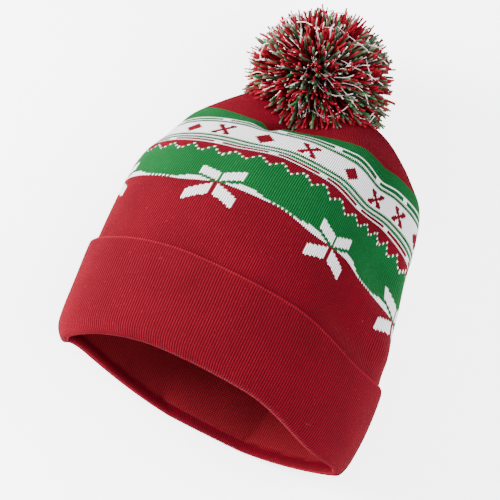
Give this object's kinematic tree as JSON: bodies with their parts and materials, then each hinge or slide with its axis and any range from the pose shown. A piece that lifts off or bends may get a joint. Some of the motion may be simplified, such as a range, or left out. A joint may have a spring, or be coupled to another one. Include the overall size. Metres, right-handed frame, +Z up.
{
  "type": "knitted pompom hat",
  "caption": "Knitted winter hat with a patterned body, a turned-up plain cuff and a shaggy yarn pompom, lying on its back and filled out.",
  "frame": {"origin": "middle of the box's underside, on the surface that the hat lies on", "axes": "+Y from the hat's opening towards the pompom, +Z up through the front of the hat, +X to the right as seen from the front with the pompom up"},
  "size_m": [0.2038, 0.2784, 0.111],
  "materials": {
    "knit": "fine wool stocking stitch, dark red with green and white bands",
    "cuff_knit": "fine wool stocking stitch, plain dark red",
    "pompom_yarn": "cut woollen yarn, red and green with thin white threads",
    "tie_thread": "plain red yarn, hidden"
  },
  "bodies": {
    "root": {"crown": "knit", "cuff": "cuff_knit", "pompom": "pompom_yarn", "pompom_tie": "tie_thread"}
  },
  "joints": []
}
